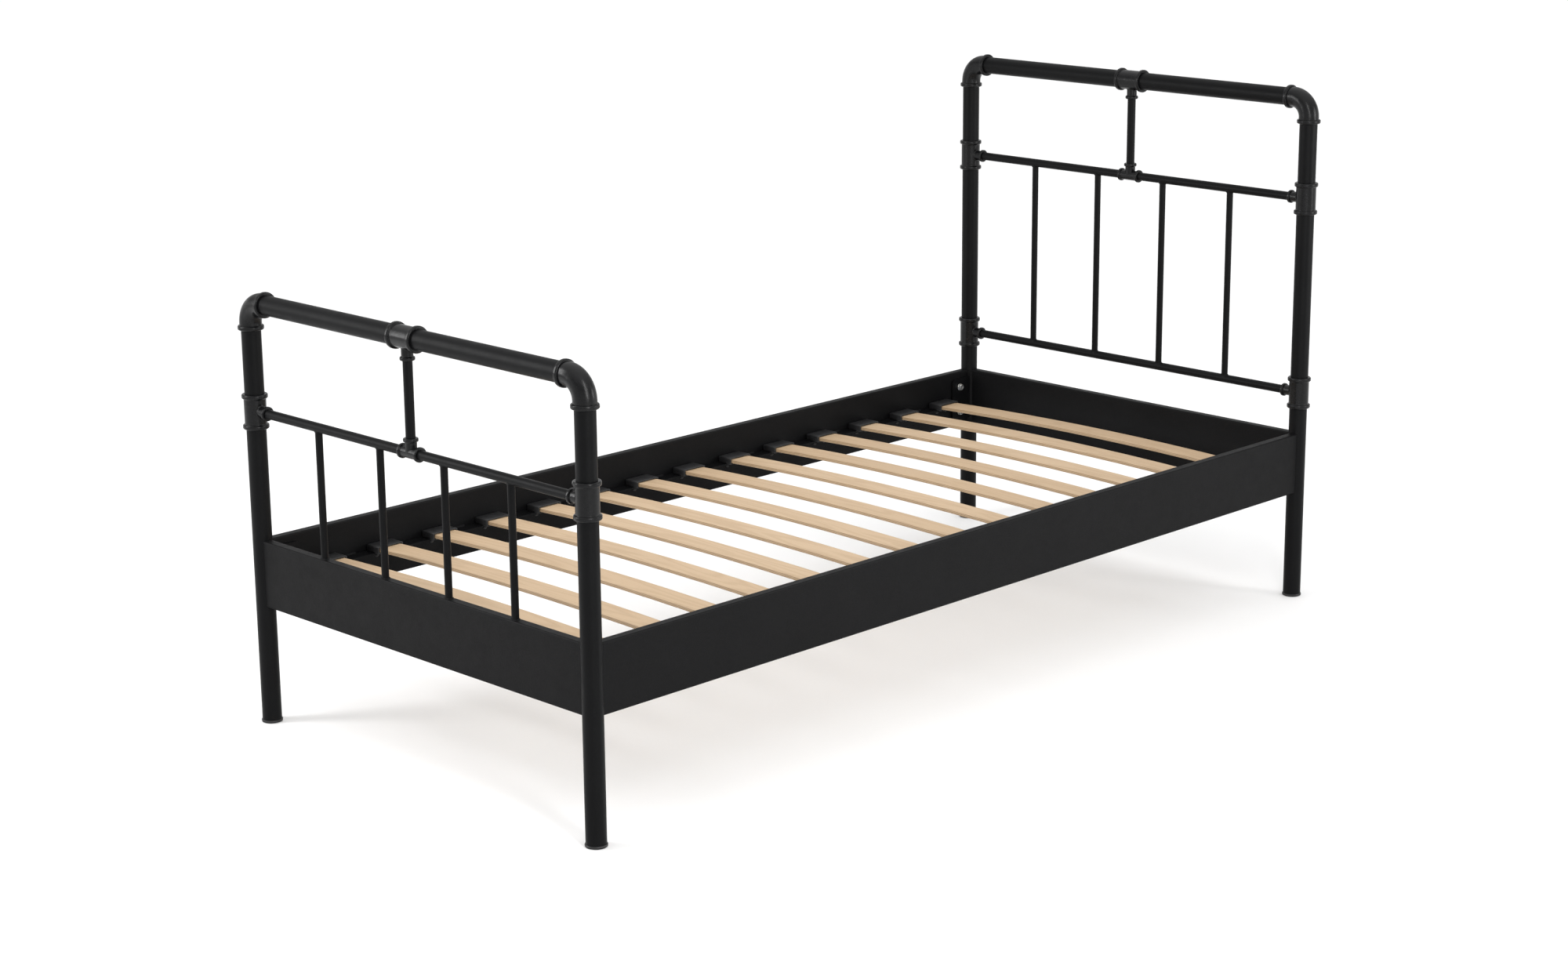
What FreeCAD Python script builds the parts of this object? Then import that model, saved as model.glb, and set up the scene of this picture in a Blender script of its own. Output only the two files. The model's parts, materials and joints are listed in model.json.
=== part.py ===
import FreeCAD, Part

# Single metal bed frame for a 900 x 2000 mm mattress, in millimetres.
# +X runs across the bed to its right side, +Y from the foot to the head, +Z up.
# The origin is on the floor under the middle of the frame.
#
# Head and foot ends are round steel tubes joined by pipe elbows and tees, with a
# boxed steel panel between the posts. Two boxed side rails bolt to the posts and
# carry ledges, on which bowed plywood slats rest in plastic holders.

import math
import os
import re

import Sketcher
from FreeCAD import Placement, Rotation, Vector

DIMENSIONS = (
    # Frame layout: post axes and the heights of the tube axes above the floor
    ("axis_width", 950),
    ("axis_length", 2050),
    ("head_height", 1095),
    ("head_mid_height", 882),
    ("head_low_height", 458),
    ("foot_height", 832),
    ("foot_mid_height", 621),
    # Tubes
    ("post_radius", 19),
    ("tube_wall", 1.5),
    ("rail_radius", 9),
    ("spindle_radius", 7),
    ("spindle_wall", 1.2),
    ("spindle_pitch", 184),
    ("weld_gap", 0.05),
    # Pipe fittings on the posts and the top rail
    ("post_bore", 19.1),
    ("post_sleeve", 21.3),
    ("post_bead", 25),
    ("post_bead_width", 9),
    ("post_bead_round", 3),
    ("post_reach", 34),
    ("neck_reach", 41.5),
    ("elbow_bend", 40),
    ("elbow_stop", 41),
    ("elbow_reach", 53),
    ("elbow_passage", 17.5),
    # Pipe fittings on the thin rails, and the thin necks of the larger tees
    ("rail_bore", 9.1),
    ("rail_sleeve", 11),
    ("rail_bead", 14),
    ("rail_bead_width", 7),
    ("rail_bead_round", 2.3),
    ("rail_reach", 27.5),
    ("bead_root_round", 1.2),
    ("neck_root_round", 2.5),
    ("rail_inset", 25),
    ("stem_inset", 12),
    # Boxed panels and side rails
    ("panel_top", 368),
    ("panel_height", 132),
    ("panel_depth", 20),
    ("panel_wall", 1.5),
    ("panel_corner", 3),
    ("cope_gap", 0.2),
    # Slat ledges, slats and slat holders
    ("ledge_top", 297),
    ("ledge_size", 30),
    ("ledge_wall", 3),
    ("ledge_length", 1880),
    ("peg_inset", 15),
    ("peg_spread", 30),
    ("peg_hole", 4.2),
    ("peg_radius", 4),
    ("peg_length", 12),
    ("slat_count", 14),
    ("slat_pitch", 138),
    ("slat_half", 445),
    ("slat_width", 53),
    ("slat_thickness", 8),
    ("slat_rise", 10),
    ("slat_round", 2),
    ("holder_width", 62),
    ("holder_depth", 37),
    ("holder_pocket", 22),
    ("holder_height", 14.4),
    ("holder_floor", 2),
    ("holder_slot", 10.4),
    ("holder_slot_width", 54),
    ("holder_round", 2),
    # Corner plates, bolts, washers and rivet nuts
    ("plate_offset", 15),
    ("plate_thickness", 4),
    ("plate_length", 75),
    ("plate_height", 100),
    ("plate_corner", 8),
    ("bolt_distance", 50),
    ("bolt_spread", 60),
    ("bolt_hole", 4.5),
    ("bolt_radius", 3.9),
    ("bolt_length", 20),
    ("head_radius", 7.5),
    ("head_thickness", 5.3),
    ("washer_radius", 8),
    ("washer_hole", 4.2),
    ("washer_thickness", 1.6),
    ("nut_hole", 5.5),
    ("nut_radius", 5.45),
    ("nut_bore", 4),
    ("nut_flange", 8),
    ("nut_flange_thickness", 1),
    ("nut_length", 14),
    # Foot caps
    ("foot_radius", 20.5),
    ("foot_thickness", 5),
    ("foot_round", 1.5),
    ("plug_radius", 17.4),
    ("plug_top", 27),
)

NO_TURN = Rotation()
HALF_TURN = Rotation(Vector(0, 0, 1), 180)
Z_TO_X = Rotation(Vector(0, 1, 0), 90)
Z_TO_MINUS_X = Rotation(Vector(0, 1, 0), -90)
SIDES = (("left", -1, HALF_TURN), ("right", 1, NO_TURN))

doc = FreeCAD.newDocument("BedFrame")
sheet = doc.addObject("Spreadsheet::Sheet", "dims")
ALIASES = {alias for alias, _ in DIMENSIONS}
subparts = []


# --- Sheet and expressions -------------------------------------------------

def fill_sheet():
    for row, (alias, number) in enumerate(DIMENSIONS, start=1):
        sheet.set(f"A{row}", alias)
        sheet.set(f"B{row}", str(number))
        sheet.setAlias(f"B{row}", alias)
    doc.recompute()


def cells(text):
    """Turns sheet names in an expression into references to the sheet."""
    def reference(match):
        word = match.group(0)
        return f"dims.{word}" if word in ALIASES else word
    return re.sub(r"[A-Za-z_]\w*", reference, text)


def value(text):
    return float(sheet.evalExpression(cells(text)))


def bind(item, path, text):
    item.setExpression(path, cells(text))


def place(item, x="0", y="0", z="0", turn=NO_TURN):
    item.Placement = Placement(Vector(0, 0, 0), turn)
    for axis, text in zip("xyz", (x, y, z)):
        bind(item, f"Placement.Base.{axis}", text)
    return item


def keep(item):
    """Marks a finished object as one of the frame's sub-parts."""
    subparts.append(item)
    return item


# --- Sketches ---------------------------------------------------------------

def new_body(label):
    return doc.addObject("PartDesign::Body", label)


def new_sketch(body, role):
    sketch = body.newObject("Sketcher::SketchObject", f"{body.Name}_sketch")
    plane = next(item for item in body.Origin.OriginFeatures if item.Role == role)
    sketch.AttachmentSupport = [(plane, "")]
    sketch.MapMode = "FlatFace"
    return sketch


def anchor_axis(sketch, kind, axis, item, point, text):
    """Ties one coordinate of a sketch point to the sketch's origin."""
    if text == "0":
        sketch.addConstraint(Sketcher.Constraint("PointOnObject", item, point, axis))
        return
    index = sketch.addConstraint(Sketcher.Constraint(kind, -1, 1, item, point, value(text)))
    bind(sketch, f"Constraints[{index}]", text)


def anchor(sketch, item, point, x, y):
    anchor_axis(sketch, "DistanceX", -2, item, point, x)
    anchor_axis(sketch, "DistanceY", -1, item, point, y)


def set_radius(sketch, item, text):
    index = sketch.addConstraint(Sketcher.Constraint("Radius", item, value(text)))
    bind(sketch, f"Constraints[{index}]", text)


def add_outline(sketch, points):
    """Closed outline of straight lines through points given as expressions."""
    corners = [Vector(value(x), value(y), 0) for x, y in points]
    first = sketch.GeometryCount
    count = len(corners)
    for index, corner in enumerate(corners):
        following = corners[(index + 1) % count]
        sketch.addGeometry(Part.LineSegment(corner, following), False)
    for index, (x, y) in enumerate(points):
        following = first + (index + 1) % count
        sketch.addConstraint(Sketcher.Constraint("Coincident", first + index, 2, following, 1))
        anchor(sketch, first + index, 1, x, y)


def add_rectangle(sketch, half_x, half_y):
    add_outline(sketch, (
        (f"-({half_x})", f"-({half_y})"), (half_x, f"-({half_y})"),
        (half_x, half_y), (f"-({half_x})", half_y)))


def add_circle(sketch, radius, x="0", y="0"):
    centre = Vector(value(x), value(y), 0)
    circle = Part.Circle(centre, Vector(0, 0, 1), value(radius))
    item = sketch.addGeometry(circle, False)
    anchor(sketch, item, 3, x, y)
    set_radius(sketch, item, radius)


# --- Features ---------------------------------------------------------------

def pad(body, sketch, length, symmetric=False):
    feature = body.newObject("PartDesign::Pad", f"{body.Name}_pad")
    feature.Profile = sketch
    feature.SideType = "Symmetric" if symmetric else "One side"
    bind(feature, "Length", length)
    return feature


def revolve(body, sketch, axis, angle=360, backwards=False):
    feature = body.newObject("PartDesign::Revolution", f"{body.Name}_turn")
    feature.Profile = sketch
    feature.ReferenceAxis = (sketch, [axis])
    feature.Angle = angle
    feature.Reversed = backwards
    return feature


def cut_through(body, sketch):
    """Pocket through the whole body, both ways from the sketch."""
    feature = body.newObject("PartDesign::Pocket", f"{body.Name}_cut")
    feature.Profile = sketch
    feature.SideType = "Symmetric"
    feature.Type = "ThroughAll"
    return feature


def cut_one_way(body, sketch, length, along_normal=False):
    feature = body.newObject("PartDesign::Pocket", f"{body.Name}_cut")
    feature.Profile = sketch
    feature.Reversed = along_normal
    bind(feature, "Length", length)
    return feature


def round_edges(body, radius, chosen):
    """Fillet on every edge of the body's present shape that is chosen."""
    doc.recompute()
    base = body.Tip
    names = [f"Edge{index}" for index, edge in enumerate(base.Shape.Edges, start=1)
             if chosen(edge)]
    feature = body.newObject("PartDesign::Fillet", f"{body.Name}_round")
    feature.Base = (base, names)
    bind(feature, "Radius", radius)
    return feature


def is_circle(edge, radius):
    return isinstance(edge.Curve, Part.Circle) and abs(edge.Curve.Radius - value(radius)) < 1e-4


def is_straight_along(edge, axis):
    return isinstance(edge.Curve, Part.Line) and abs(abs(edge.Curve.Direction.dot(axis)) - 1) < 1e-6


def group(label, master, placements):
    """One sub-part that holds a copy of the master at each placement."""
    links = []
    for x, y, z, turn in placements:
        link = doc.addObject("App::Link", f"{label}_copy")
        link.LinkedObject = master
        links.append(place(link, x, y, z, turn))
    compound = doc.addObject("Part::Compound", label)
    compound.Links = links
    return keep(compound)


# --- Tubes ------------------------------------------------------------------

def tube(label, radius, wall, length):
    """Round tube along Z that starts at its own origin."""
    body = new_body(label)
    sketch = new_sketch(body, "XY_Plane")
    add_circle(sketch, radius)
    add_circle(sketch, f"{radius} - {wall}")
    pad(body, sketch, length)
    return keep(body)


def cross_tube(label, radius, length, y, z):
    """Round tube across the bed, centred between the posts."""
    body = tube(label, radius, "tube_wall", length)
    return place(body, f"-({length}) / 2", y, z, Z_TO_X)


def spindle(label, length, lower_cope):
    """Thin upright tube whose ends are shaped to the rails they are welded to."""
    body = tube(label, "spindle_radius", "spindle_wall", length)
    sketch = new_sketch(body, "YZ_Plane")
    add_circle(sketch, "rail_radius + weld_gap", "0", length)
    if lower_cope:
        add_circle(sketch, "rail_radius + weld_gap")
    cut_through(body, sketch)
    return body


# --- Pipe fittings ----------------------------------------------------------

def bead_rounds(body, size):
    """Rounds the proud bead rings and softens the corner behind each one."""
    round_edges(body, f"{size}_bead_round", lambda edge: is_circle(edge, f"{size}_bead"))


def root_rounds(body, size):
    round_edges(body, "bead_root_round", lambda edge: is_circle(edge, f"{size}_sleeve"))


def tee(label, size, reach, neck_reach):
    """Tee with an open sleeve along Z and a thin beaded neck along +X."""
    body = new_body(label)
    inner = f"{reach} - {size}_bead_width"
    sleeve = new_sketch(body, "XZ_Plane")
    add_outline(sleeve, (
        ("0", f"-{reach}"), (f"{size}_bead", f"-{reach}"),
        (f"{size}_bead", f"-({inner})"), (f"{size}_sleeve", f"-({inner})"),
        (f"{size}_sleeve", inner), (f"{size}_bead", inner),
        (f"{size}_bead", reach), ("0", reach)))
    revolve(body, sleeve, "V_Axis")
    shoulder = f"{neck_reach} - rail_bead_width"
    neck = new_sketch(body, "XZ_Plane")
    add_outline(neck, (
        ("0", "0"), (neck_reach, "0"), (neck_reach, "rail_bead"),
        (shoulder, "rail_bead"), (shoulder, "rail_sleeve"), ("0", "rail_sleeve")))
    revolve(body, neck, "H_Axis")
    for name in sorted({size, "rail"}):
        bead_rounds(body, name)
        root_rounds(body, name)
    if size != "rail":
        round_edges(body, "neck_root_round",
                    lambda edge: isinstance(edge.Curve, Part.BSplineCurve))
    bore = new_sketch(body, "XY_Plane")
    add_circle(bore, f"{size}_bore")
    cut_through(body, bore)
    socket = new_sketch(body, "YZ_Plane")
    add_circle(socket, "rail_bore")
    cut_one_way(body, socket, neck_reach, along_normal=True)
    return keep(body)


def elbow(label):
    """Hollow right-angle bend: one beaded socket faces -Z, the other -X."""
    body = new_body(label)
    section = new_sketch(body, "XY_Plane")
    bind(section, "AttachmentOffset.Base.z", "-elbow_bend")
    add_circle(section, "post_sleeve")
    add_circle(section, "elbow_passage")
    hinge = Part.LineSegment(Vector(-value("elbow_bend"), 0, 0),
                             Vector(-value("elbow_bend"), value("post_sleeve"), 0))
    item = section.addGeometry(hinge, True)
    anchor(section, item, 1, "-elbow_bend", "0")
    anchor(section, item, 2, "-elbow_bend", "post_sleeve")
    revolve(body, section, "Axis0", 90, backwards=True)
    shoulder = "elbow_reach - post_bead_width"
    outline = (
        ("elbow_passage", "elbow_bend"), ("post_sleeve", "elbow_bend"),
        ("post_sleeve", shoulder), ("post_bead", shoulder), ("post_bead", "elbow_reach"),
        ("post_bore", "elbow_reach"), ("post_bore", "elbow_stop"),
        ("elbow_passage", "elbow_stop"))
    lower = new_sketch(body, "XZ_Plane")
    add_outline(lower, [(radius, f"-({along})") for radius, along in outline])
    revolve(body, lower, "V_Axis")
    side = new_sketch(body, "XZ_Plane")
    add_outline(side, [(f"-({along})", radius) for radius, along in outline])
    revolve(body, side, "H_Axis")
    bead_rounds(body, "post")
    return keep(body)


# --- Head and foot ends -----------------------------------------------------

def end_panel(label, y):
    """Boxed panel between two posts, its ends coped to them."""
    body = new_body(label)
    sketch = new_sketch(body, "YZ_Plane")
    add_rectangle(sketch, "panel_depth / 2", "panel_height / 2")
    add_rectangle(sketch, "panel_depth / 2 - panel_wall", "panel_height / 2 - panel_wall")
    pad(body, sketch, "axis_width", symmetric=True)
    finish_box(body, Vector(1, 0, 0))
    cope = new_sketch(body, "XY_Plane")
    for sign in ("-", ""):
        add_circle(cope, "post_radius + weld_gap", f"{sign}axis_width / 2")
    cut_through(body, cope)
    place(body, "0", y, "panel_top - panel_height / 2")
    return keep(body)


def finish_box(body, axis):
    """Rounds the long edges of a boxed section, outside and inside."""
    half = value("panel_height / 2")

    def outer(edge):
        return is_straight_along(edge, axis) and abs(abs(edge.CenterOfMass.z) - half) < 1e-6

    def inner(edge):
        wall_face = value("panel_height / 2 - panel_wall")
        return is_straight_along(edge, axis) and abs(abs(edge.CenterOfMass.z) - wall_face) < 1e-6

    round_edges(body, "panel_corner", outer)
    round_edges(body, "panel_corner - panel_wall", inner)


def end_frame(name, y, height, mid_height, has_low_rail):
    """Posts, elbows, tees, rails, spindles and panel of one end of the bed."""
    for side, sign, turn in SIDES:
        x = f"{sign} * axis_width / 2"
        post = tube(f"{name}_{side}_post", "post_radius", "tube_wall",
                    f"{height} - elbow_stop - foot_thickness")
        place(post, x, y, "foot_thickness")
        place(elbow(f"{name}_{side}_elbow"), x, y, height, turn)
        neck_turn = NO_TURN if sign < 0 else HALF_TURN
        upper = "upper_tee" if has_low_rail else "tee"
        fitting = tee(f"{name}_{side}_{upper}", "post", "post_reach", "neck_reach")
        place(fitting, x, y, mid_height, neck_turn)
        if has_low_rail:
            fitting = tee(f"{name}_{side}_lower_tee", "post", "post_reach", "neck_reach")
            place(fitting, x, y, f"{name}_low_height", neck_turn)
    cross_tube(f"{name}_top_rail", "post_radius", "axis_width - 2 * elbow_stop", y, height)
    cross_tube(f"{name}_mid_rail", "rail_radius", "axis_width - 2 * rail_inset", y, mid_height)
    if has_low_rail:
        cross_tube(f"{name}_low_rail", "rail_radius", "axis_width - 2 * rail_inset", y,
                   f"{name}_low_height")
    top_tee = tee(f"{name}_top_tee", "post", "post_reach", "neck_reach")
    place(top_tee, "0", y, height, Z_TO_X)
    centre_tee = tee(f"{name}_centre_tee", "rail", "rail_reach", "rail_reach")
    place(centre_tee, "0", y, mid_height, Z_TO_MINUS_X)
    stem = tube(f"{name}_centre_stem", "rail_radius", "tube_wall",
                f"{height} - {mid_height} - rail_inset - stem_inset")
    place(stem, "0", y, f"{mid_height} + stem_inset")
    low = f"{name}_low_height" if has_low_rail else "panel_top"
    for index in range(4):
        bar = spindle(f"{name}_spindle_{index + 1}", f"{mid_height} - {low}", has_low_rail)
        place(bar, f"{index - 1.5} * spindle_pitch", y, low)
    end_panel(f"{name}_panel", y)


def foot_caps():
    """Caps under the four posts: a thin foot with a plug inside the tube."""
    body = new_body("foot_cap_master")
    sketch = new_sketch(body, "XZ_Plane")
    add_outline(sketch, (
        ("0", "0"), ("foot_radius", "0"), ("foot_radius", "foot_thickness"),
        ("plug_radius", "foot_thickness"), ("plug_radius", "plug_top"), ("0", "plug_top")))
    revolve(body, sketch, "V_Axis")
    round_edges(body, "foot_round", lambda edge: is_circle(edge, "foot_radius"))
    group("foot_caps", body, [
        (f"{across} * axis_width / 2", f"{along} * axis_length / 2", "0", NO_TURN)
        for across in (-1, 1) for along in (-1, 1)])


# --- Side rails and slats -----------------------------------------------------

def side_rail(label, x, turn):
    """Boxed rail along the bed; its inner wall, at -X, takes the rivet nuts."""
    body = new_body(label)
    sketch = new_sketch(body, "XZ_Plane")
    add_rectangle(sketch, "panel_depth / 2", "panel_height / 2")
    add_rectangle(sketch, "panel_depth / 2 - panel_wall", "panel_height / 2 - panel_wall")
    pad(body, sketch, "axis_length", symmetric=True)
    finish_box(body, Vector(0, 1, 0))
    cope = new_sketch(body, "XY_Plane")
    for sign in ("-", ""):
        add_circle(cope, "post_radius + cope_gap", "0", f"{sign}axis_length / 2")
    cut_through(body, cope)
    nuts = new_sketch(body, "YZ_Plane")
    for along in (-1, 1):
        for up in (-1, 1):
            add_circle(nuts, "nut_hole", f"{along} * (axis_length / 2 - bolt_distance)",
                       f"{up} * bolt_spread / 2")
    cut_one_way(body, nuts, "panel_depth")
    place(body, x, "0", "panel_top - panel_height / 2", turn)
    return keep(body)


def slat_ledge(label, x, turn):
    """Angle along a side rail's inner face, with a pair of peg holes per slat."""
    body = new_body(label)
    profile = new_sketch(body, "XZ_Plane")
    add_outline(profile, (
        ("0", "0"), ("0", "-ledge_size"), ("-ledge_wall", "-ledge_size"),
        ("-ledge_wall", "-ledge_wall"), ("-ledge_size", "-ledge_wall"), ("-ledge_size", "0")))
    pad(body, profile, "ledge_length", symmetric=True)
    holes = new_sketch(body, "XY_Plane")
    first = "(slat_count - 1) / 2 * slat_pitch"
    for sign in ("-", "+"):
        add_circle(holes, "peg_hole", "-peg_inset", f"-{first} {sign} peg_spread / 2")
    drilled = cut_one_way(body, holes, "ledge_wall")
    doc.recompute()
    row = body.newObject("PartDesign::LinearPattern", f"{label}_row")
    row.Originals = [drilled]
    row.Direction = (holes, ["V_Axis"])
    bind(row, "Length", "(slat_count - 1) * slat_pitch")
    bind(row, "Occurrences", "slat_count")
    body.Tip = row
    place(body, x, "0", "ledge_top", turn)
    return keep(body)


def slat(label, y):
    """Bowed plywood slat; its profile is a pair of arcs about one centre."""
    body = new_body(label)
    sketch = new_sketch(body, "XZ_Plane")
    lower = "(slat_half ^ 2 + slat_rise ^ 2) / (2 * slat_rise)"
    drop = f"slat_rise - {lower}"
    centre = Vector(0, value(drop), 0)
    radii = (lower, f"{lower} + slat_thickness")
    for radius in radii:
        lean = math.asin(value("slat_half") / value(radius))
        circle = Part.Circle(centre, Vector(0, 0, 1), value(radius))
        arc = Part.ArcOfCircle(circle, math.pi / 2 - lean, math.pi / 2 + lean)
        item = sketch.addGeometry(arc, False)
        anchor(sketch, item, 3, "0", drop)
        set_radius(sketch, item, radius)
        anchor_axis(sketch, "DistanceX", -2, item, 1, "slat_half")
        anchor_axis(sketch, "DistanceX", -2, item, 2, "-slat_half")
    for point in (1, 2):
        ends = [sketch.getPoint(item, point) for item in (0, 1)]
        line = sketch.addGeometry(Part.LineSegment(*ends), False)
        for end, item in ((1, 0), (2, 1)):
            sketch.addConstraint(Sketcher.Constraint("Coincident", line, end, item, point))
    pad(body, sketch, "slat_width", symmetric=True)
    round_edges(body, "slat_round", lambda edge: isinstance(edge.Curve, Part.Circle))
    place(body, "0", y, "ledge_top + holder_floor")
    return keep(body)


def slat_holder():
    """Plastic end holder: open towards -X, two pegs below its closed back."""
    body = new_body("slat_holder_master")
    block = new_sketch(body, "XY_Plane")
    near, far = "-holder_pocket", "holder_depth - holder_pocket"
    add_outline(block, (
        (near, "-holder_width / 2"), (far, "-holder_width / 2"),
        (far, "holder_width / 2"), (near, "holder_width / 2")))
    pad(body, block, "holder_height")
    round_edges(body, "holder_round", lambda edge: is_straight_along(edge, Vector(0, 0, 1)))
    slot = new_sketch(body, "YZ_Plane")
    add_outline(slot, (
        ("-holder_slot_width / 2", "holder_floor"), ("holder_slot_width / 2", "holder_floor"),
        ("holder_slot_width / 2", "holder_floor + holder_slot"),
        ("-holder_slot_width / 2", "holder_floor + holder_slot")))
    cut_one_way(body, slot, "holder_pocket")
    pegs = new_sketch(body, "XY_Plane")
    middle = "(axis_width - panel_depth) / 2 - peg_inset - slat_half"
    for sign in ("-", ""):
        add_circle(pegs, "peg_radius", middle, f"{sign}peg_spread / 2")
    pins = pad(body, pegs, "peg_length")
    pins.Reversed = True
    return body


def slats():
    offsets = [index - (value("slat_count") - 1) / 2 for index in range(int(value("slat_count")))]
    for index, offset in enumerate(offsets, start=1):
        slat(f"slat_{index:02d}", f"{offset} * slat_pitch")
    group("slat_holders", slat_holder(), [
        (f"{sign} * slat_half", f"{offset} * slat_pitch", "ledge_top", turn)
        for _, sign, turn in SIDES for offset in offsets])


# --- Corner joints ------------------------------------------------------------

def corner_plate():
    """Plate welded to a post: it reaches along +Y from the post's axis."""
    body = new_body("corner_plate_master")
    sketch = new_sketch(body, "YZ_Plane")
    bind(sketch, "AttachmentOffset.Base.z", "-plate_offset")
    add_outline(sketch, (
        ("0", "-plate_height / 2"), ("plate_length", "-plate_height / 2"),
        ("plate_length", "plate_height / 2"), ("0", "plate_height / 2")))
    for sign in ("-", ""):
        add_circle(sketch, "bolt_hole", "bolt_distance", f"{sign}bolt_spread / 2")
    pad(body, sketch, "plate_thickness")
    reach = value("plate_length")
    round_edges(body, "plate_corner", lambda edge: is_straight_along(edge, Vector(1, 0, 0))
                and abs(edge.CenterOfMass.y - reach) < 1e-6)
    cope = new_sketch(body, "XY_Plane")
    add_circle(cope, "post_radius + weld_gap")
    cut_through(body, cope)
    return body


def hex_bolt():
    """Bolt along +Z with the bearing face of its head at Z = 0."""
    body = new_body("bolt_master")
    hexagon = new_sketch(body, "XY_Plane")
    add_outline(hexagon, [
        (f"head_radius * {math.cos(math.radians(60 * corner)):.9f}",
         f"head_radius * {math.sin(math.radians(60 * corner)):.9f}")
        for corner in range(6)])
    pad(body, hexagon, "head_thickness").Reversed = True
    shank = new_sketch(body, "XY_Plane")
    add_circle(shank, "bolt_radius")
    pad(body, shank, "bolt_length")
    return body


def ring(label, radius, hole, thickness):
    body = new_body(label)
    sketch = new_sketch(body, "XY_Plane")
    add_circle(sketch, radius)
    add_circle(sketch, hole)
    pad(body, sketch, thickness)
    return body


def rivet_nut():
    """Threaded insert along +Z, its thin flange at Z = 0."""
    body = ring("rivet_nut_master", "nut_flange", "nut_bore", "nut_flange_thickness")
    barrel = new_sketch(body, "XY_Plane")
    add_circle(barrel, "nut_radius")
    add_circle(barrel, "nut_bore")
    pad(body, barrel, "nut_length")
    return body


def corner_joints():
    """Plates, bolts, washers and rivet nuts that hold the side rails."""
    plates = {
        (1, -1): NO_TURN, (-1, 1): HALF_TURN,
        (1, 1): Rotation(Vector(1, 0, 0), 180), (-1, -1): Rotation(Vector(0, 1, 0), 180)}
    middle = "panel_top - panel_height / 2"
    group("corner_plates", corner_plate(), [
        (f"{across} * axis_width / 2", f"{along} * axis_length / 2", middle, turn)
        for (across, along), turn in plates.items()])
    plate_face = "axis_width / 2 - plate_offset"
    stations = (
        ("bolts", hex_bolt(), f"{plate_face} - washer_thickness"),
        ("washers", ring("washer_master", "washer_radius", "washer_hole", "washer_thickness"),
         f"{plate_face} - washer_thickness"),
        ("rivet_nuts", rivet_nut(), f"{plate_face} + plate_thickness"))
    for label, master, distance in stations:
        group(label, master, [
            (f"{across} * ({distance})", f"{along} * (axis_length / 2 - bolt_distance)",
             f"{middle} + {up} * bolt_spread / 2", Z_TO_X if across > 0 else Z_TO_MINUS_X)
            for across in (-1, 1) for along in (-1, 1) for up in (-1, 1)])


# --- Assembly, checks and export ----------------------------------------------

def check_document():
    for item in doc.Objects:
        if "Invalid" in item.State or "Error" in item.State:
            raise RuntimeError(f"{item.Label} did not compute: {item.State}")
    for item in subparts:
        if item.Shape.isNull() or not item.Shape.isValid() or not item.Shape.Solids:
            raise RuntimeError(f"{item.Label} has no valid solid")


def main():
    fill_sheet()
    end_frame("head", "axis_length / 2", "head_height", "head_mid_height", True)
    end_frame("foot", "-axis_length / 2", "foot_height", "foot_mid_height", False)
    foot_caps()
    for side, sign, turn in SIDES:
        side_rail(f"{side}_side_rail", f"{sign} * axis_width / 2", turn)
        slat_ledge(f"{side}_slat_ledge", f"{sign} * (axis_width - panel_depth) / 2", turn)
    slats()
    corner_joints()
    doc.recompute()
    check_document()
    os.makedirs("parts", exist_ok=True)
    for item in subparts:
        item.Shape.exportStep(f"parts/{item.Label}.step")
        print(f"{item.Label}: {len(item.Shape.Solids)} solid(s), {item.Shape.Volume / 1000:.1f} cm3")


main()
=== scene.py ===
# Looks of a single metal bed frame: powder-coated tubes and panels, cast pipe
# fittings, birch slats in plastic holders, zinc-plated fasteners, and welds.
# Metres, in the CAD frame: +X to the bed's right side, +Y to its head, +Z up.

import json
import math

import bmesh
import bpy
from mathutils import Matrix, Vector

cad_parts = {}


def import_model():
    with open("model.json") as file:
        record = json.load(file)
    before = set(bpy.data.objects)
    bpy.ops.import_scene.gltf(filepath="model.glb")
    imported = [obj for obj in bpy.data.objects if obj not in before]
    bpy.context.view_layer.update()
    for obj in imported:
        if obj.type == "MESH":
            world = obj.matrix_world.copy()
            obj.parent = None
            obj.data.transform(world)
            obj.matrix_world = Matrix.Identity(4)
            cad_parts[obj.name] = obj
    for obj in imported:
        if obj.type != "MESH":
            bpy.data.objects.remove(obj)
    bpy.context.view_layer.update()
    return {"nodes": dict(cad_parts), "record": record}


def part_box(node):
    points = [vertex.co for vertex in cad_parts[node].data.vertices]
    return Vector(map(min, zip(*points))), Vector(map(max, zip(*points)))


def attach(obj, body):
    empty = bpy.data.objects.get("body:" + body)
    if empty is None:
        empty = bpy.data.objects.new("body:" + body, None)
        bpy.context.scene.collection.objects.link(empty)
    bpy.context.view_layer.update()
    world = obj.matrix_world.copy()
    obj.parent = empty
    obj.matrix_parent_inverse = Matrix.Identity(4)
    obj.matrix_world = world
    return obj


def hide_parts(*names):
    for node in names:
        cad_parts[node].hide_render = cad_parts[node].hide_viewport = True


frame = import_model()
nodes = frame["nodes"]
scene = bpy.context.scene

# Edges sharper than this stay sharp under smooth shading
SHARP_ANGLE = math.radians(35)

# Slats
SLATS = sorted(name for name in nodes if name.startswith("slat_") and name[-1].isdigit())
SLAT_THICKNESS = 0.008
SLAT_PLIES = 7

# Fillet weld: its section as legs out along one face and up the other, the
# pitch of its ripples, and how much they and a run's ends change its size
WELD_SECTION = ((-0.3, -0.3), (1.0, -0.3), (1.0, 0.0), (0.74, 0.3), (0.42, 0.6), (0.18, 0.84),
                (0.0, 1.0), (-0.3, 1.0))
WELD_RIPPLE = 0.0016
SEAM_STEPS_PER_RIPPLE = 4
SEAM_VALLEY = 0.9
SEAM_CREST = 0.16
SEAM_END = 0.4

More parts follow.
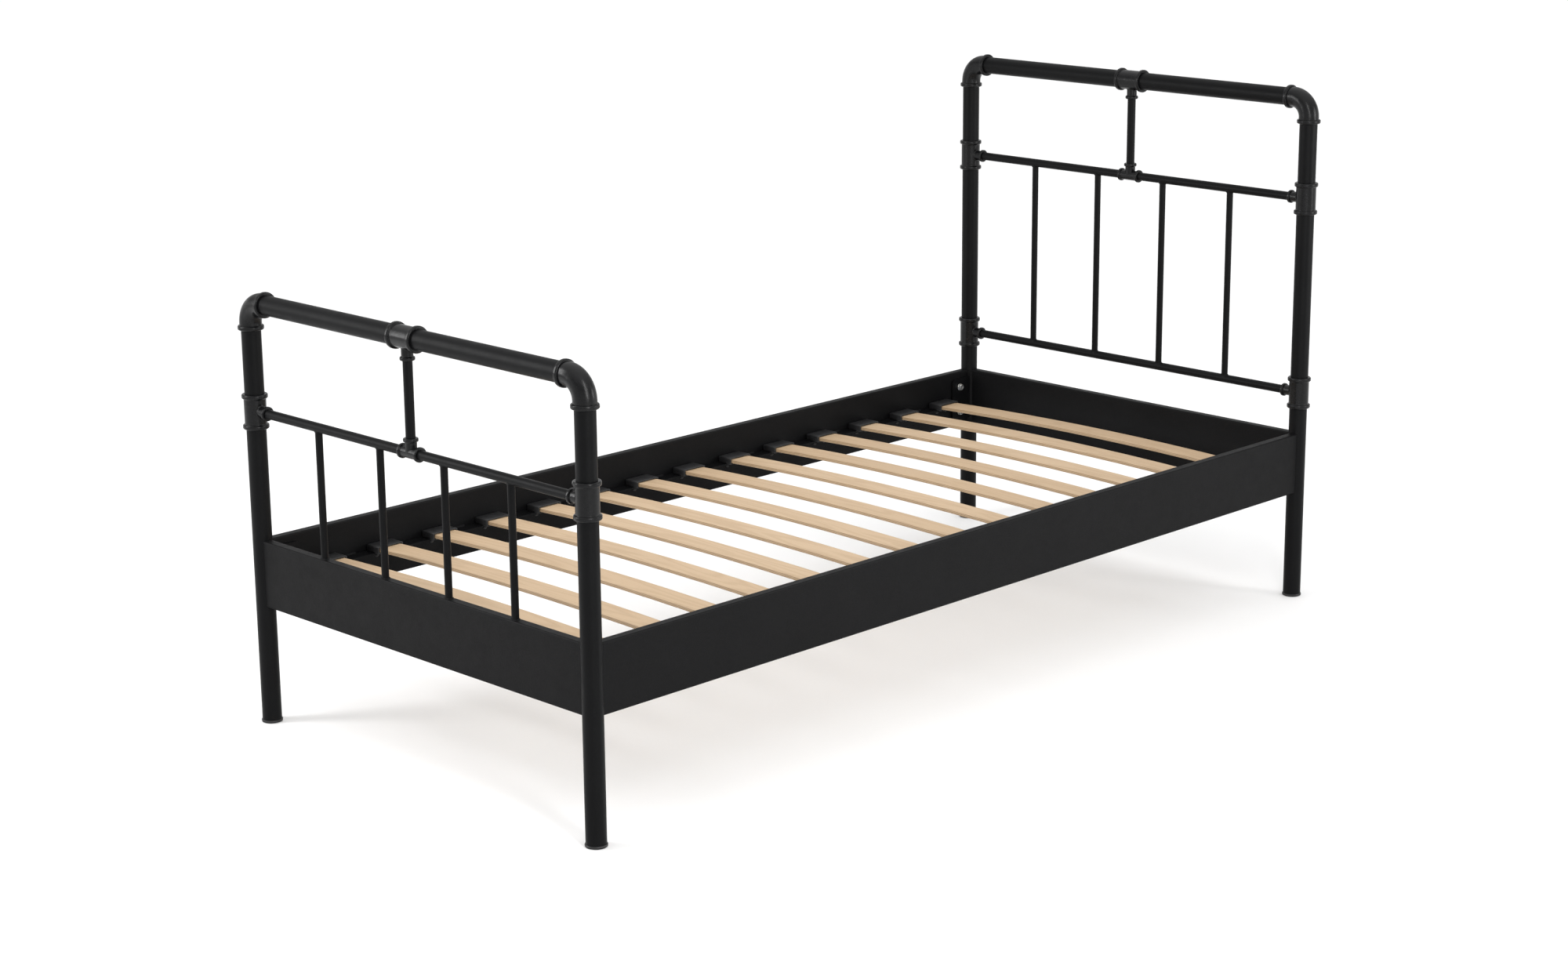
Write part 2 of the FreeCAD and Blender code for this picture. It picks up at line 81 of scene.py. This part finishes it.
# Weld collars round the spindles: where each starts and stops and leaves its nugget
COLLAR_STEPS = 96
COLLAR_STOP = math.radians(-150)
COLLAR_RIPPLE = 0.12
NUGGET_SWELL = 0.4
NUGGET_SPREAD = 0.4
COLLAR_LEG_ABOVE = 0.0017
COLLAR_LEG_BELOW = 0.0019
# Least square of the depth of a rail's side under a collar that reaches past it
SADDLE_LEAST_SQUARE = 1e-7

# Seams at the end panels, and stitches on the slat ledges in every second gap between slats
CORNER_LEG = 0.004
CORNER_INSET = 0.004
STITCH_LEG = 0.003
STITCH_HALF_LENGTH = 0.014
STITCH_SPACING = 2

# Slat holders
HOLDER_DEPTH = 0.037
HOLDER_POCKET = 0.022
HOLDER_WIDTH = 0.062
HOLDER_WALL = 0.002
HOLDER_SLOT_WIDTH = 0.054
HOLDER_TO_RAIL = 0.005
# Their sections: distance from the end face, how much narrower and lower than
# full size they are there, and their corner radius
HOLDER_BACK = ((0.0, 0.0012, 0.0012, 0.0012), (0.0004, 0.0004, 0.0004, 0.0018),
               (0.0014, 0.0, 0.0, 0.0022))
HOLDER_LIP = ((0.0012, 0.0, 0.0, 0.0022), (0.0003, 0.0004, 0.0004, 0.0018),
              (0.0, 0.0012, 0.0008, 0.0014))
HOLDER_THROAT = ((0.0, -0.0008, -0.0006, 0.0012), (0.0012, 0.0, 0.0, 0.0006),
                 (HOLDER_POCKET, 0.0, 0.0, 0.0006))

# Pegs under the holders, with their barbed tip as heights above it and shares of the radius
PEG_RADIUS = 0.004
PEG_SPREAD = 0.030
PEG_INSET = 0.015
PEG_ROOT = 0.0005
PEG_SIDES = 20
PEG_TIP = ((0.0035, 1.0), (0.0028, 1.12), (0.0012, 1.05), (0.0, 0.6))

# Hexagon bolts, with the round sections of their heads as shares of the distance
# across the flats and heights above the seat or depths below the top
BOLT_LENGTH = 0.020
BOLT_RADIUS = 0.0039
BOLT_HEAD = 0.0053
BOLT_CORNER = 0.0075
BOLT_HEAD_SIDES = 60
BOLT_SEAT = ((0.9, 0.0), (0.93, 0.0003))
BOLT_HEXAGON_START = 0.0004
BOLT_CHAMFER = 0.94
BOLT_CROWN = ((BOLT_CHAMFER, 0.0), (0.72, 0.0), (0.6, 0.0005))
THREAD_PITCH = 0.00125
THREAD_DEPTH = 0.0007
THREAD_POINT = 0.0006
THREAD_SIDES = 24
THREAD_ROWS_PER_PITCH = 4

# Floor, and the studio's brightness by the sine of the angle above the horizon
FLOOR_REACH = 60.0
FLOOR_GAP = 0.0005
SKY_STRENGTH = 1.72
WALL_LEVEL = 1.05 / SKY_STRENGTH
WALL_HEIGHT = 0.16
DIM_LEVEL = 0.25
DIM_HEIGHT = 0.30

CAMERA_PLACE = Vector((4.105, -4.192, 1.918))
CAMERA_TURN = math.radians(44.96)
CAMERA_TILT = math.radians(14.73)
CAMERA_ROLL = math.radians(-0.5)
CAMERA_LENS = 68.0
CAMERA_SENSOR = 36


# --- Shader building blocks -------------------------------------------------

class Shader:
    """A material's node tree, with short calls for the nodes used here."""

    def __init__(self, name):
        self.material = bpy.data.materials.new(name)
        self.material.use_nodes = True
        self.tree = self.material.node_tree
        self.surface = self.tree.nodes["Principled BSDF"]
        self.texture = self.add("ShaderNodeTexCoord")
        self.place = self.texture.outputs["Object"]

    def add(self, kind, **settings):
        node = self.tree.nodes.new(kind)
        for key, setting in settings.items():
            setattr(node, key, setting)
        return node

    def link(self, source, target):
        self.tree.links.new(source, target)

    def feed(self, socket, source):
        """Links a socket to an output, or sets it to a plain value."""
        if isinstance(source, bpy.types.NodeSocket):
            self.link(source, socket)
        else:
            socket.default_value = source

    def parts(self, vector):
        """The X, Y and Z outputs of a vector."""
        node = self.add("ShaderNodeSeparateXYZ")
        self.link(vector, node.inputs["Vector"])
        return node.outputs

    def stretched(self, scale, vector=None):
        mapping = self.add("ShaderNodeMapping")
        self.link(vector or self.place, mapping.inputs["Vector"])
        mapping.inputs["Scale"].default_value = scale
        return mapping.outputs["Vector"]

    def noise(self, scale=1.0, detail=3.0, roughness=0.55, vector=None, distortion=0.0):
        node = self.add("ShaderNodeTexNoise")
        self.link(vector or self.place, node.inputs["Vector"])
        node.inputs["Scale"].default_value = scale
        node.inputs["Detail"].default_value = detail
        node.inputs["Roughness"].default_value = roughness
        node.inputs["Distortion"].default_value = distortion
        return node.outputs["Fac"]

    def math(self, operation, first, second=0.0):
        node = self.add("ShaderNodeMath", operation=operation)
        for socket, source in zip(node.inputs, (first, second)):
            self.feed(socket, source)
        return node.outputs["Value"]

    def spread(self, source, low=0.0, high=1.0, from_low=0.3, from_high=0.7):
        """Maps a value, such as noise, onto the range from low to high."""
        node = self.add("ShaderNodeMapRange")
        self.link(source, node.inputs["Value"])
        bounds = (from_low, from_high, low, high)
        for key, bound in zip(("From Min", "From Max", "To Min", "To Max"), bounds):
            node.inputs[key].default_value = bound
        return node.outputs["Result"]

    def blend(self, factor, first, second):
        """Colour mix of two linear colours or outputs."""
        node = self.add("ShaderNodeMix", data_type="RGBA")
        self.feed(node.inputs["Factor"], factor)
        colours = [socket for socket in node.inputs if socket.type == "RGBA"]
        for socket, source in zip(colours, (first, second)):
            self.feed(socket, (*source, 1.0) if isinstance(source, tuple) else source)
        return next(socket for socket in node.outputs if socket.type == "RGBA")

    def bump(self, height, distance, below=None):
        node = self.add("ShaderNodeBump")
        node.inputs["Distance"].default_value = distance
        node.inputs["Strength"].default_value = 1.0
        self.link(height, node.inputs["Height"])
        if below is not None:
            self.link(below, node.inputs["Normal"])
        return node.outputs["Normal"]

    def finish(self, colour, roughness, normal, **constants):
        self.feed(self.surface.inputs["Base Color"], colour)
        self.feed(self.surface.inputs["Roughness"], roughness)
        self.link(normal, self.surface.inputs["Normal"])
        for key, constant in constants.items():
            self.surface.inputs[key.replace("_", " ")].default_value = constant
        return self.material


# --- Materials ----------------------------------------------------------------

def scaled(colour, factor):
    return tuple(factor * part for part in colour)


def powder_coat(name, dark, light, roughness, specular):
    """Baked fine-texture powder coat: sandy grain over an orange-peel waviness, with painted shade in the
    grain's hollows and painted highlights on its crests.
    """
    shader = Shader(name)
    clouds = shader.noise(scale=7.0, detail=4.0)
    grain = shader.noise(scale=1300.0, detail=3.0, roughness=0.6)
    colour = shader.blend(shader.spread(clouds), dark, light)
    # Painted shade: the colour is darkened in the hollows of the sand grain
    painted_shade_in_hollows = shader.spread(grain, high=0.6, from_low=0.5, from_high=0.3)
    colour = shader.blend(painted_shade_in_hollows, colour, scaled(dark, 0.35))
    # Painted highlight: the colour is lightened on the crests of the sand grain, as sparkle
    painted_highlight_crests = shader.spread(grain, high=0.45, from_low=0.56, from_high=0.72)
    colour = shader.blend(painted_highlight_crests, colour, scaled(light, 3.2))
    gloss = shader.spread(shader.noise(scale=38.0, detail=5.0, roughness=0.6), *roughness)
    peel = shader.bump(shader.noise(scale=240.0, detail=2.0), distance=0.00015)
    sand = shader.bump(grain, distance=0.00012, below=peel)
    return shader.finish(colour, gloss, sand, Specular_IOR_Level=specular)


def cast_coat(name, dark, light, roughness, specular):
    """Glossier coat on the fittings, whose cast skin shows as soft hollows, with painted highlights on the
    crests of its pebbled skin.
    """
    shader = Shader(name)
    clouds = shader.noise(scale=24.0, detail=4.0, roughness=0.6)
    pebbles = shader.noise(scale=420.0, detail=3.0, roughness=0.6)
    colour = shader.blend(shader.spread(clouds), dark, light)
    # Painted highlight: the colour is lightened on the crests of the pebbled skin
    painted_highlight_crests = shader.spread(pebbles, high=0.35, from_low=0.56, from_high=0.72)
    colour = shader.blend(painted_highlight_crests, colour, scaled(light, 2.6))
    gloss = shader.spread(shader.noise(scale=70.0, detail=5.0, roughness=0.65), *roughness)
    skin_bumps = shader.bump(shader.noise(scale=85.0, detail=3.0, roughness=0.5), distance=0.0004)
    peel = shader.bump(pebbles, distance=0.00008, below=skin_bumps)
    fine_noise = shader.noise(scale=2200.0, detail=2.0, roughness=0.6)
    fine = shader.bump(fine_noise, distance=0.00003, below=peel)
    return shader.finish(colour, gloss, fine, Specular_IOR_Level=specular)


def moulded_plastic(name, dark, light, roughness, texture):
    """Spark-eroded matt plastic, a little paler where it is rubbed."""
    shader = Shader(name)
    wear = shader.noise(scale=55.0, detail=6.0, roughness=0.7)
    colour = shader.blend(shader.spread(wear, from_low=0.45, from_high=0.75), dark, light)
    gloss = shader.spread(shader.noise(scale=120.0, detail=4.0), *roughness)
    pits = shader.bump(shader.noise(scale=1600.0, detail=3.0, roughness=0.7), distance=texture)
    return shader.finish(colour, gloss, pits, Specular_IOR_Level=0.35)


def zinc_plate(name):
    """Bright zinc plating: faint blue to straw tints and drawn scratches."""
    blue, straw, stained = (0.60, 0.63, 0.68), (0.68, 0.65, 0.56), (0.36, 0.36, 0.37)
    shader = Shader(name)
    colour = shader.blend(shader.spread(shader.noise(scale=90.0, detail=3.0)), blue, straw)
    stains = shader.noise(scale=260.0, detail=5.0, roughness=0.7)
    stain = shader.spread(stains, high=0.5, from_low=0.55, from_high=0.8)
    colour = shader.blend(stain, colour, stained)
    drawn = shader.stretched((300.0, 300.0, 4000.0))
    scratches = shader.noise(detail=3.0, roughness=0.7, vector=drawn)
    gloss = shader.spread(scratches, low=0.24, high=0.42)
    grooves = shader.bump(scratches, distance=0.00002)
    return shader.finish(colour, gloss, grooves, Metallic=1.0)


def slat_dice(shader):
    """One random colour for each slat, from the slat's number along the bed."""
    pitch = abs(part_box(SLATS[1])[0][1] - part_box(SLATS[0])[0][1])
    number = shader.math("FLOOR", shader.math("DIVIDE", shader.parts(shader.place)["Y"], pitch))
    dice = shader.add("ShaderNodeTexWhiteNoise", noise_dimensions="1D")
    shader.link(number, dice.inputs["W"])
    return dice


def birch_face(shader, dice, fibre, pores, wood):
    """Rotary-cut veneer: contour figure, combed fibres and dark pores."""
    pale, warm, vein = (0.52, 0.375, 0.235), (0.46, 0.32, 0.19), (0.36, 0.232, 0.125)
    bright_fibre, pore = (0.58, 0.435, 0.285), (0.24, 0.145, 0.072)
    broad = shader.noise(detail=2.0, roughness=0.5, distortion=0.4,
                         vector=shader.stretched((1.7, 17.0, 17.0), wood))
    rings_across = 62.0
    contour = shader.math("SINE", shader.math("MULTIPLY", broad, rings_across))
    figure = shader.spread(contour, high=0.42, from_low=-0.4, from_high=1.0)
    base = shader.blend(shader.spread(dice.outputs["Value"], from_low=0.0, from_high=1.0), pale, warm)
    veined = shader.blend(figure, base, vein)
    combed = shader.blend(shader.spread(fibre, high=0.45), veined, bright_fibre)
    return shader.blend(shader.spread(pores, high=0.5, from_low=0.64, from_high=0.74), combed, pore)


def birch_plies(shader, fibre, pores):
    """Layers of the bowed slat's edge, turned along and across it by turns."""
    long_dark, long_pale = (0.44, 0.31, 0.185), (0.50, 0.37, 0.235)
    cross_dark, cross_pale = (0.21, 0.13, 0.066), (0.31, 0.205, 0.11)
    low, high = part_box(SLATS[0])
    along, _, height = shader.parts(shader.place)
    rise = high[2] - low[2] - SLAT_THICKNESS
    half = (high[0] - low[0]) / 2
    bow = shader.math("POWER", shader.math("DIVIDE", along, half), 2.0)
    drop = shader.math("MULTIPLY", bow, rise)
    depth = shader.math("SUBTRACT", high[2], shader.math("ADD", height, drop))
    ply = shader.math("FLOOR", shader.math("DIVIDE", depth, SLAT_THICKNESS / SLAT_PLIES))
    turned = shader.math("MODULO", ply, 2.0)
    long_ply = shader.blend(shader.spread(fibre), long_dark, long_pale)
    cross_ply = shader.blend(shader.spread(pores), cross_dark, cross_pale)
    return shader.blend(turned, long_ply, cross_ply)


def birch_plywood(name):
    """Bent birch slats: rotary-cut figure on the faces, plies on the long edges."""
    shader = Shader(name)
    dice = slat_dice(shader)
    shift = shader.add("ShaderNodeVectorMath", operation="MULTIPLY_ADD")
    shader.link(dice.outputs["Color"], shift.inputs[0])
    shift.inputs[1].default_value = (7.0, 0.0, 7.0)
    shader.link(shader.place, shift.inputs[2])
    wood = shift.outputs["Vector"]
    fibre = shader.noise(detail=4.0, roughness=0.6,
                         vector=shader.stretched((16.0, 820.0, 820.0), wood))
    pores = shader.noise(detail=2.0, roughness=0.5,
                         vector=shader.stretched((75.0, 2600.0, 2600.0), wood))
    face = birch_face(shader, dice, fibre, pores, wood)
    plies = birch_plies(shader, fibre, pores)
    sideways = shader.math("ABSOLUTE", shader.parts(shader.texture.outputs["Normal"])["Y"])
    on_edge = shader.spread(sideways, from_low=0.72, from_high=0.9)
    colour = shader.blend(on_edge, face, plies)
    gloss = shader.spread(fibre, low=0.40, high=0.58)
    raised = shader.bump(fibre, distance=0.00006)
    pitted = shader.bump(pores, distance=0.00004, below=raised)
    return shader.finish(colour, gloss, pitted, Specular_IOR_Level=0.4)


def assign(material, slot):
    """Puts a material on every CAD node of one slot."""
    for row in frame["record"]["subparts"]:
        if row["material_slot"] == slot:
            mesh = nodes[row["node"]].data
            mesh.materials.clear()
            mesh.materials.append(material)


FINISHES = {
    "tube_black": powder_coat("tube_coat", dark=(0.0038, 0.0039, 0.0042), light=(0.0052, 0.0053, 0.0057),
                              roughness=(0.36, 0.46), specular=0.07),
    "panel_black": powder_coat("panel_coat", dark=(0.0040, 0.0040, 0.0043), light=(0.0054, 0.0054, 0.0058),
                               roughness=(0.42, 0.52), specular=0.07),
    "fitting_black": cast_coat("fitting_coat", dark=(0.0034, 0.0035, 0.0038), light=(0.0050, 0.0051, 0.0055),
                               roughness=(0.20, 0.28), specular=0.19),
    "slat_birch": birch_plywood("birch_plywood"),
    "holder_black": moulded_plastic("holder_plastic", dark=(0.010, 0.010, 0.0105),
                                    light=(0.015, 0.015, 0.016), roughness=(0.44, 0.58), texture=0.00006),
    "foot_black": moulded_plastic("foot_plastic", dark=(0.007, 0.007, 0.0075),
                                  light=(0.03, 0.029, 0.028), roughness=(0.35, 0.55), texture=0.00002),
    "zinc": zinc_plate("zinc_plate"),
}
for slot_name, finish in FINISHES.items():
    assign(finish, slot_name)


# --- Building blocks of the pieces made here --------------------------------------

def skin(form, rings, closed):
    """Joins cross-section rings into one closed surface."""
    rows = [[form.verts.new(point) for point in ring] for ring in rings]
    pairs = list(zip(rows, rows[1:]))
    if closed:
        pairs.append((rows[-1], rows[0]))
    for near, far in pairs:
        for here in range(len(near)):
            there = (here + 1) % len(near)
            form.faces.new((near[here], near[there], far[there], far[here]))
    if not closed:
        form.faces.new(reversed(rows[0]))
        form.faces.new(rows[-1])


def finish_piece(name, form, slot):
    """Turns a form into a piece of the frame, with its slot's finish."""
    bmesh.ops.recalc_face_normals(form, faces=form.faces)
    mesh = bpy.data.meshes.new(name)
    form.to_mesh(mesh)
    form.free()
    mesh.materials.append(FINISHES[slot])
    mesh.shade_smooth()
    mesh.set_sharp_from_angle(angle=SHARP_ANGLE)
    piece = bpy.data.objects.new(name, mesh)
    scene.collection.objects.link(piece)
    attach(piece, "root")
    return piece


def middle(name):
    low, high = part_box(name)
    return (Vector(low) + Vector(high)) / 2


def turns(count):
    """Equal steps round a full circle."""
    return [math.tau * step / count for step in range(count)]


# --- Welds ----------------------------------------------------------------------

def weld_collar(form, centre, radius, leg, up, surface):
    """Weld round an upright bar; surface gives the face's height off its crown."""
    ripples = round(math.tau * radius / WELD_RIPPLE)
    rings = []
    for angle in turns(COLLAR_STEPS):
        from_stop = (angle - COLLAR_STOP + math.pi) % math.tau - math.pi
        nugget = NUGGET_SWELL * math.exp(-(from_stop / NUGGET_SPREAD) ** 2)
        swell = leg * (1 + COLLAR_RIPPLE * math.sin(ripples * angle) + nugget)
        ring = []
        for out, rise in WELD_SECTION:
            reach = radius + out * swell
            across, along = reach * math.cos(angle), reach * math.sin(angle)
            height = surface(along) + rise * swell
            ring.append(centre + Vector((across, along, up * height)))
        rings.append(ring)
    skin(form, rings, closed=True)


def weld_seam(form, start, end, out, up, leg):
    """Straight fillet weld, rippled along its run and tapered at its ends."""
    run = Vector(end) - Vector(start)
    steps = round(run.length * SEAM_STEPS_PER_RIPPLE / WELD_RIPPLE)
    rings = []
    for step in range(steps + 1):
        distance = run.length * step / steps
        from_end = min(distance, run.length - distance)
        taper = SEAM_END + (1 - SEAM_END) * math.sqrt(min(from_end / leg, 1))
        ripple = SEAM_VALLEY + SEAM_CREST * abs(math.sin(math.pi * distance / WELD_RIPPLE))
        spot = Vector(start) + run * step / steps
        rings.append([spot + leg * taper * ripple * (along * Vector(out) + rise * Vector(up))
                      for along, rise in WELD_SECTION])
    skin(form, rings, closed=False)


def spindle_welds(end, upper_rail, lower_face):
    """Collars at both ends of one end frame's spindles."""
    form = bmesh.new()
    rail_low, rail_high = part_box(upper_rail)
    crown = (rail_high[2] - rail_low[2]) / 2
    lower_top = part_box(lower_face)[1][2]

    def saddle(along):
        return math.sqrt(max(crown ** 2 - along ** 2, SADDLE_LEAST_SQUARE)) - crown

    def flat(along):
        return 0.0

    seat = saddle if lower_face.endswith("rail") else flat
    for name in sorted(name for name in nodes if name.startswith(f"{end}_spindle_")):
        low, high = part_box(name)
        spot = middle(name)
        radius = (high[0] - low[0]) / 2
        top = Vector((spot.x, spot.y, rail_low[2]))
        weld_collar(form, top, radius, COLLAR_LEG_ABOVE, -1, saddle)
        foot = Vector((spot.x, spot.y, lower_top))
        weld_collar(form, foot, radius, COLLAR_LEG_BELOW, 1, seat)
    finish_piece(f"{end}_spindle_welds", form, "tube_black")


def corner_welds(end, inward):
    """Seams that join an end panel to its posts and corner plates, inside the bed."""
    form = bmesh.new()
    panel_low, panel_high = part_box(f"{end}_panel")
    inner = panel_high[1] if inward > 0 else panel_low[1]
    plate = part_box("washers")[1][0]
    for side in (-1, 1):
        bottom = (side * plate, inner, panel_low[2] + CORNER_INSET)
        top = (side * plate, inner, panel_high[2] - CORNER_INSET)
        weld_seam(form, bottom, top, (-side, 0, 0), (0, inward, 0), CORNER_LEG)
    finish_piece(f"{end}_corner_welds", form, "panel_black")


def ledge_welds(side, name):
    """Stitches above and below the ledge, midway between the slats."""
    form = bmesh.new()
    low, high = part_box(name)
    face = side * max(abs(low[0]), abs(high[0]))
    pitch = middle(SLATS[1]).y - middle(SLATS[0]).y
    last_gap = len(SLATS) // 2 - 1
    for gap in range(-last_gap, last_gap + 1, STITCH_SPACING):
        for height, up in ((high[2], 1), (low[2], -1)):
            ends = [(face, gap * pitch + shift, height)
                    for shift in (-STITCH_HALF_LENGTH, STITCH_HALF_LENGTH)]
            weld_seam(form, *ends, (-side, 0, 0), (0, 0, up), STITCH_LEG)
    finish_piece(f"{name}_welds", form, "panel_black")


# --- Slat holders -----------------------------------------------------------------

def rounded_loop(place, half_width, half_height, corner, steps=4):
    """Rounded rectangle in the plane across X, as a ring of points."""
    loop = []
    for turn, (wide, tall) in enumerate(((1, 1), (-1, 1), (-1, -1), (1, -1))):
        for step in range(steps + 1):
            angle = math.pi / 2 * (turn + step / steps)
            loop.append(Vector((
                place.x,
                place.y + wide * (half_width - corner) + corner * math.cos(angle),
                place.z + tall * (half_height - corner) + corner * math.sin(angle))))
    return loop


def holder_peg(form, place, along, root, tip):
    """Barbed peg under a holder, from its root down to its tip."""
    sections = [(root, 1.0)] + [(tip + height, share) for height, share in PEG_TIP]
    rings = [[Vector((place + share * PEG_RADIUS * math.cos(angle),
                      along + share * PEG_RADIUS * math.sin(angle), height))
              for angle in turns(PEG_SIDES)]
             for height, share in sections]
    skin(form, rings, closed=False)


def slat_holder(form, side, along, back, bottom, top, tip):
    """Moulded holder: a soft-edged block, its mouth open towards the bed's middle."""
    centre = (top + bottom) / 2
    mouth = back - HOLDER_DEPTH
    outside = (HOLDER_WIDTH / 2, (top - bottom) / 2)
    inside = (HOLDER_SLOT_WIDTH / 2, (top - bottom) / 2 - HOLDER_WALL)
    rings = []
    for start, inwards, (half_width, half_height), sections in (
            (back, -1, outside, HOLDER_BACK),
            (mouth, 1, outside, HOLDER_LIP),
            (mouth, 1, inside, HOLDER_THROAT)):
        for distance, narrower, lower, corner in sections:
            place = Vector((side * (start + inwards * distance), along, centre))
            rings.append(rounded_loop(place, half_width - narrower, half_height - lower, corner))
    skin(form, rings, closed=False)
    peg_place = side * (back + HOLDER_TO_RAIL - PEG_INSET)
    for shift in (-PEG_SPREAD / 2, PEG_SPREAD / 2):
        holder_peg(form, peg_place, along + shift, bottom + PEG_ROOT, tip)


def slat_holders():
    form = bmesh.new()
    low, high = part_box("slat_holders")
    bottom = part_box("left_slat_ledge")[1][2]
    for name in SLATS:
        for side in (-1, 1):
            slat_holder(form, side, middle(name).y, high[0], bottom, high[2], low[2])
    piece = finish_piece("moulded_slat_holders", form, "holder_black")
    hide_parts("slat_holders")


# --- Bolts --------------------------------------------------------------------------

def bolt_ring(seat, side, count, shape):
    """A section of a bolt that points along X; shape gives radius and height by angle."""
    points = []
    for angle in turns(count):
        radius, height = shape(angle)
        points.append(seat + Vector((-side * height, radius * math.sin(angle),
                                     radius * math.cos(angle))))
    return points


def bolt_head(form, seat, side):
    """Hexagon head with a round seat, a chamfered rim and a dished top."""
    sixth = math.pi / 3
    flat = BOLT_CORNER * math.cos(sixth / 2)
    chamfer = BOLT_CHAMFER * flat

    def hexagon(angle):
        return flat / math.cos((angle + sixth / 2) % sixth - sixth / 2)

    def rim(angle):
        return hexagon(angle), BOLT_HEAD - (hexagon(angle) - chamfer) * math.tan(sixth / 2)

    def disc(share, height):
        return lambda angle: (share * flat, height)

    shapes = [disc(share, height) for share, height in BOLT_SEAT]
    shapes += [lambda angle: (hexagon(angle), BOLT_HEXAGON_START), rim]
    shapes += [disc(share, BOLT_HEAD - depth) for share, depth in BOLT_CROWN]
    skin(form, [bolt_ring(seat, side, BOLT_HEAD_SIDES, shape) for shape in shapes], closed=False)


def bolt_thread(form, seat, side):
    """Rolled thread, with a tapered point."""
    rows = THREAD_ROWS_PER_PITCH * round(BOLT_LENGTH / THREAD_PITCH)

    def groove(depth):
        full = min(1.0, (BOLT_LENGTH + depth) / THREAD_PITCH)

        def section(angle):
            phase = (depth / THREAD_PITCH + angle / math.tau) % 1.0
            cut = THREAD_DEPTH * abs(2 * phase - 1)
            return BOLT_RADIUS - cut - THREAD_POINT * (1 - full), depth
        return section

    skin(form, [bolt_ring(seat, side, THREAD_SIDES, groove(-BOLT_LENGTH * row / rows))
                for row in range(rows + 1)], closed=False)


def bolts():
    form = bmesh.new()
    low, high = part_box("bolts")
    across = high[0] - BOLT_LENGTH
    along = high[1] - BOLT_CORNER * math.cos(math.pi / 6)
    for side in (-1, 1):
        for place in (-along, along):
            for height in (low[2] + BOLT_CORNER, high[2] - BOLT_CORNER):
                seat = Vector((side * across, place, height))
                bolt_head(form, seat, side)
                bolt_thread(form, seat, side)
    piece = finish_piece("hexagon_bolts", form, "zinc")
    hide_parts("bolts")


# --- Floor, light and camera ---------------------------------------------------

def floor():
    """Plain white paper, just under the feet."""
    mesh = bpy.data.meshes.new("floor")
    corners = [(across * FLOOR_REACH, along * FLOOR_REACH, 0)
               for across, along in ((-1, -1), (1, -1), (1, 1), (-1, 1))]
    mesh.from_pydata(corners, [], [(0, 1, 2, 3)])
    plane = bpy.data.objects.new("floor", mesh)
    scene.collection.objects.link(plane)
    plane.location.z = -FLOOR_GAP
    shader = Shader("floor_paper")
    shade = shader.noise(scale=2.0, detail=2.0)
    colour = shader.blend(shade, (0.88, 0.88, 0.88), (0.9, 0.9, 0.9))
    fibres = shader.bump(shader.noise(scale=40.0), distance=0.0001)
    shader.finish(colour, 0.9, fibres, Specular_IOR_Level=0.1)
    mesh.materials.append(shader.material)


def world():
    """Soft white studio: a pale wall at the horizon, dim above it, bright overhead."""
    sky = bpy.data.worlds.new("studio")
    scene.world = sky
    sky.use_nodes = True
    tree = sky.node_tree
    place = tree.nodes.new("ShaderNodeTexCoord")
    split = tree.nodes.new("ShaderNodeSeparateXYZ")
    ramp = tree.nodes.new("ShaderNodeValToRGB")
    tree.links.new(place.outputs["Generated"], split.inputs["Vector"])
    tree.links.new(split.outputs["Z"], ramp.inputs["Fac"])
    stops = ramp.color_ramp.elements
    stops[0].position, stops[1].position = 0.0, 1.0
    stops.new(WALL_HEIGHT)
    stops.new(DIM_HEIGHT)
    for stop, level in zip(stops, (WALL_LEVEL, WALL_LEVEL, DIM_LEVEL, 1.0)):
        stop.color = (level, level, level, 1)
    background = tree.nodes["Background"]
    background.inputs["Strength"].default_value = SKY_STRENGTH
    tree.links.new(ramp.outputs["Color"], background.inputs["Color"])


def softbox(name, place, target, width, height, key, sheen):
    """A soft light, and a brighter one in its place that is only seen in the coats' shine."""
    for part, power in (("key", key), ("sheen", sheen)):
        lamp = bpy.data.lights.new(f"{name}_{part}", "AREA")
        lamp.shape = "RECTANGLE"
        lamp.size, lamp.size_y = width, height
        lamp.energy = power
        item = bpy.data.objects.new(lamp.name, lamp)
        item.location = place
        item.rotation_euler = (Vector(target) - Vector(place)).to_track_quat("-Z", "Y").to_euler()
        item.visible_camera = False
        item.visible_diffuse = part == "key"
        scene.collection.objects.link(item)


def camera():
    """Standing off the right corner of the foot end, looking down at the bed's middle."""
    turn, tilt = CAMERA_TURN, CAMERA_TILT
    ahead = Vector((-math.sin(turn) * math.cos(tilt), math.cos(turn) * math.cos(tilt), -math.sin(tilt)))
    right = Vector((math.cos(turn), math.sin(turn), 0))
    up = right.cross(ahead)
    rolled_right = math.cos(CAMERA_ROLL) * right + math.sin(CAMERA_ROLL) * up
    rolled_up = math.cos(CAMERA_ROLL) * up - math.sin(CAMERA_ROLL) * right
    view = bpy.data.cameras.new("camera")
    view.sensor_width = CAMERA_SENSOR
    view.lens = CAMERA_LENS
    item = bpy.data.objects.new("camera", view)
    turned = Matrix((rolled_right, rolled_up, -ahead)).transposed().to_4x4()
    item.matrix_world = Matrix.Translation(CAMERA_PLACE) @ turned
    scene.collection.objects.link(item)
    scene.camera = item


spindle_welds("foot", "foot_mid_rail", "foot_panel")
spindle_welds("head", "head_mid_rail", "head_low_rail")
corner_welds("foot", 1)
corner_welds("head", -1)
ledge_welds(-1, "left_slat_ledge")
ledge_welds(1, "right_slat_ledge")
slat_holders()
bolts()

floor()
world()
softbox("front_left", (-1.8, -2.8, 1.7), (-0.1, -1.0, 0.5), width=0.8, height=1.8, key=42, sheen=32)
softbox("right_strip", (2.9, -1.6, 2.0), (0.4, -0.9, 0.7), width=0.45, height=2.8, key=40, sheen=70)
softbox("right_back", (3.2, 2.1, 1.3), (0.4, 0.0, 0.5), width=0.6, height=1.6, key=22, sheen=60)
camera()
scene.view_settings.view_transform = "Standard"
